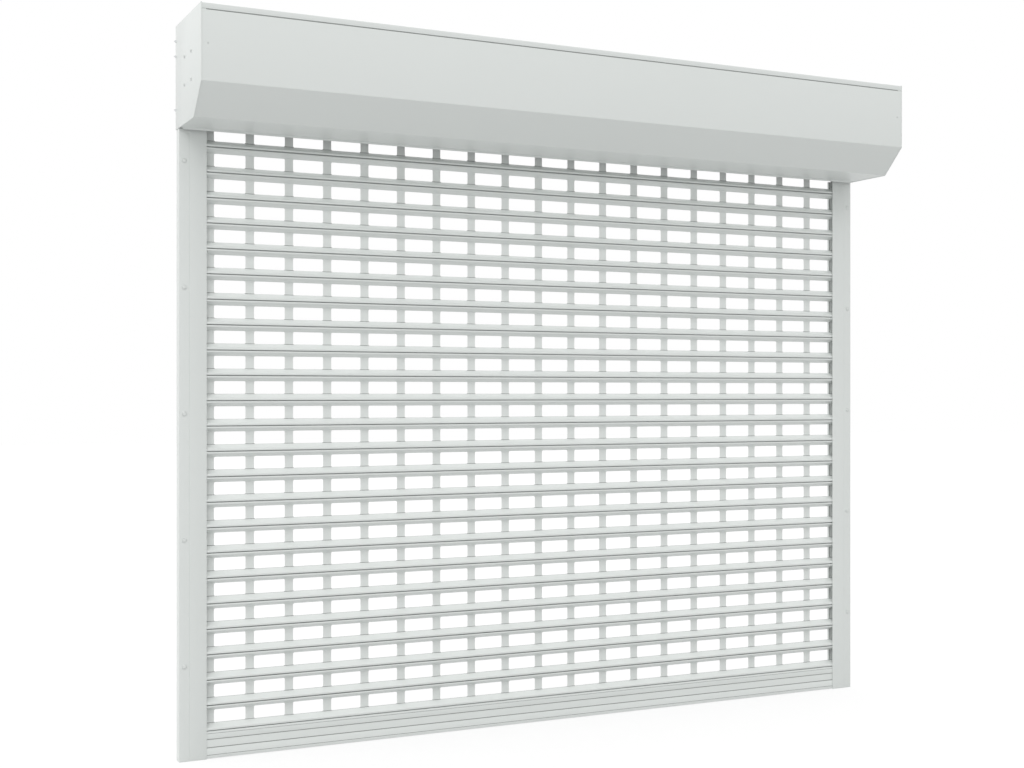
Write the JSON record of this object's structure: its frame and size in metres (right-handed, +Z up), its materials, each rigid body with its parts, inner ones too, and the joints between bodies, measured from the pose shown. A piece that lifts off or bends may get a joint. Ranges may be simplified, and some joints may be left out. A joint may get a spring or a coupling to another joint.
{
  "type": "roller security grille",
  "caption": "Roller security grille: punched interlocking slats between two side guides, a bottom bar, and a box with a motor-driven barrel.",
  "frame": {"origin": "on the floor, in the middle of the width and of the box's depth", "axes": "+X along the barrel, -Y out of the wall towards the front, +Z up"},
  "size_m": [2.77, 0.341, 2.417],
  "materials": {
    "box_coat": "satin powder coat on folded steel sheet",
    "guide_coat": "satin white powder coat on extruded aluminium",
    "slat_coat": "satin white powder coat on extruded, punched aluminium",
    "bar_coat": "satin white powder coat on extruded aluminium",
    "nylon": "moulded nylon",
    "seal_rubber": "soft matt rubber",
    "brush_fibre": "fine fibres",
    "galvanised_steel": "galvanised",
    "bright_steel": "turned and ground",
    "motor_tube": "satin"
  },
  "bodies": {
    "frame": {"left_end_plate": "box_coat", "right_end_plate": "box_coat", "rear_cover": "box_coat", "front_cover": "box_coat", "left_guide": "guide_coat", "right_guide": "guide_coat", "left_guide_brush": "brush_fibre", "right_guide_brush": "brush_fibre", "left_guide_stem": "galvanised_steel", "right_guide_stem": "galvanised_steel", "left_entry_funnel": "nylon", "right_entry_funnel": "nylon", "motor_bracket": "galvanised_steel", "tubular_motor": "motor_tube", "bearing_bracket": "galvanised_steel", "idler_bearing": "bright_steel"},
    "barrel": {"octagonal_tube": "galvanised_steel", "crown_ring": "nylon", "output_shaft": "bright_steel", "drive_wheel": "nylon", "idler_plug": "nylon", "idler_axle": "bright_steel"},
    "curtain": {"slat_02": "slat_coat", "slat_03": "slat_coat", "slat_04": "slat_coat", "slat_05": "slat_coat", "slat_06": "slat_coat", "slat_07": "slat_coat", "slat_08": "slat_coat", "slat_09": "slat_coat", "slat_10": "slat_coat", "slat_11": "slat_coat", "slat_12": "slat_coat", "slat_13": "slat_coat", "slat_14": "slat_coat", "slat_15": "slat_coat", "slat_16": "slat_coat", "slat_17": "slat_coat", "slat_18": "slat_coat", "slat_19": "slat_coat", "slat_20": "slat_coat", "slat_21": "slat_coat", "slat_22": "slat_coat", "slat_23": "slat_coat", "slat_24": "slat_coat", "end_locks": "nylon", "bottom_bar": "bar_coat", "bottom_seal": "seal_rubber", "bottom_bar_caps": "nylon"},
    "top_slat": {"slat_01": "slat_coat", "hangers": "galvanised_steel"}
  },
  "joints": [
    {"name": "curtain_lift", "type": "slide", "parent": "frame", "child": "curtain", "axis": [0, 0, 1], "range_m": [0, 0.168]},
    {"name": "tube_spin", "type": "hinge", "parent": "frame", "child": "barrel", "pos_m": [0, 0, 2.2465], "axis": [1, 0, 0], "range_deg": [0, 177.3]},
    {"name": "top_slat_tilt", "type": "hinge", "parent": "curtain", "child": "top_slat", "pos_m": [0, 0.1503, 2.0283], "axis": [1, 0, 0], "range_deg": [0, 19.3]}
  ],
  "couplings": [
    {"joint": "tube_spin", "follows": "curtain_lift", "rad_per_m": 18.4},
    {"joint": "top_slat_tilt", "follows": "curtain_lift", "rad_per_m": 2}
  ]
}
